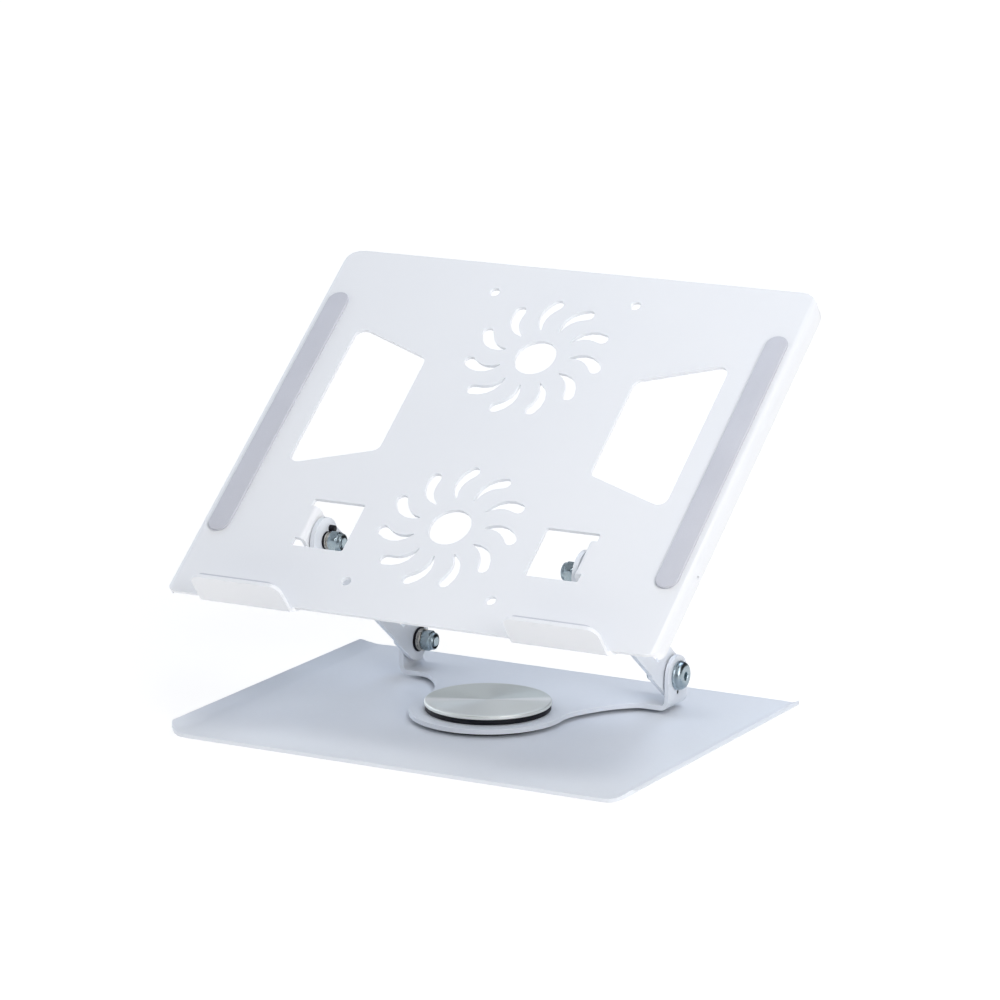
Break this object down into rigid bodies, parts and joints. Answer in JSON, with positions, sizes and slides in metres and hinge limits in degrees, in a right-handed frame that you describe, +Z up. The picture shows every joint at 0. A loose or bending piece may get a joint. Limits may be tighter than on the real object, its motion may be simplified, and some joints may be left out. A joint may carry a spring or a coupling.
{
  "type": "laptop stand",
  "caption": "Desk stand that holds a laptop on a tilted, vented metal tray; friction-hinged arms and a swivelling base set its height, tilt and direction.",
  "frame": {"origin": "on the desk, directly under the swivel axis and the middle of the base plate", "axes": "+Z up, +Y towards the raised rear edge of the tray, +X to the right of a person facing the hooks"},
  "size_m": [0.28, 0.2046, 0.2205],
  "materials": {
    "paint": "satin white powder coat on folded sheet",
    "zinc": "bright zinc plating",
    "spun_aluminium": "circular brushed",
    "black_plastic": "matt black nylon",
    "grey_rubber": "smooth light grey silicone",
    "dark_rubber": "matt dark rubber"
  },
  "bodies": {
    "base": {"base_plate": "paint", "foot_front_left": "dark_rubber", "foot_front_right": "dark_rubber", "foot_rear_left": "dark_rubber", "foot_rear_right": "dark_rubber", "pivot_bush": "zinc", "pivot_nut": "zinc", "slide_disc": "black_plastic"},
    "swivel": {"swivel_bracket": "paint", "thrust_washer": "zinc", "friction_ring": "black_plastic", "swivel_cap": "spun_aluminium", "lower_left_screw": "zinc", "lower_left_friction_washer": "black_plastic", "lower_left_seal_washer": "black_plastic", "lower_left_flat_washer": "zinc", "lower_left_lock_nut": "zinc", "lower_right_screw": "zinc", "lower_right_friction_washer": "black_plastic", "lower_right_seal_washer": "black_plastic", "lower_right_flat_washer": "zinc", "lower_right_lock_nut": "zinc"},
    "arms": {"arm_left": "paint", "arm_right": "paint", "lower_left_stop_pin": "black_plastic", "lower_right_stop_pin": "black_plastic", "upper_left_stop_pin": "black_plastic", "upper_right_stop_pin": "black_plastic"},
    "tray": {"tray": "paint", "tray_pad_left": "grey_rubber", "tray_pad_right": "grey_rubber", "hook_pad_left": "grey_rubber", "hook_pad_right": "grey_rubber", "upper_left_screw": "zinc", "upper_left_friction_washer": "black_plastic", "upper_left_seal_washer": "black_plastic", "upper_left_flat_washer": "zinc", "upper_left_lock_nut": "zinc", "upper_right_screw": "zinc", "upper_right_friction_washer": "black_plastic", "upper_right_seal_washer": "black_plastic", "upper_right_flat_washer": "zinc", "upper_right_lock_nut": "zinc"}
  },
  "joints": [
    {"name": "swivel", "type": "hinge", "parent": "base", "child": "swivel", "pos_m": [0, 0, 0.0086], "axis": [0, 0, 1], "continuous": true},
    {"name": "lower_hinge", "type": "hinge", "parent": "swivel", "child": "arms", "pos_m": [0, 0.0575, 0.0232], "axis": [1, 0, 0], "range_deg": [-25, 20]},
    {"name": "upper_hinge", "type": "hinge", "parent": "arms", "child": "tray", "pos_m": [0, -0.03653, 0.09614], "axis": [1, 0, 0], "range_deg": [-52, 10]}
  ]
}
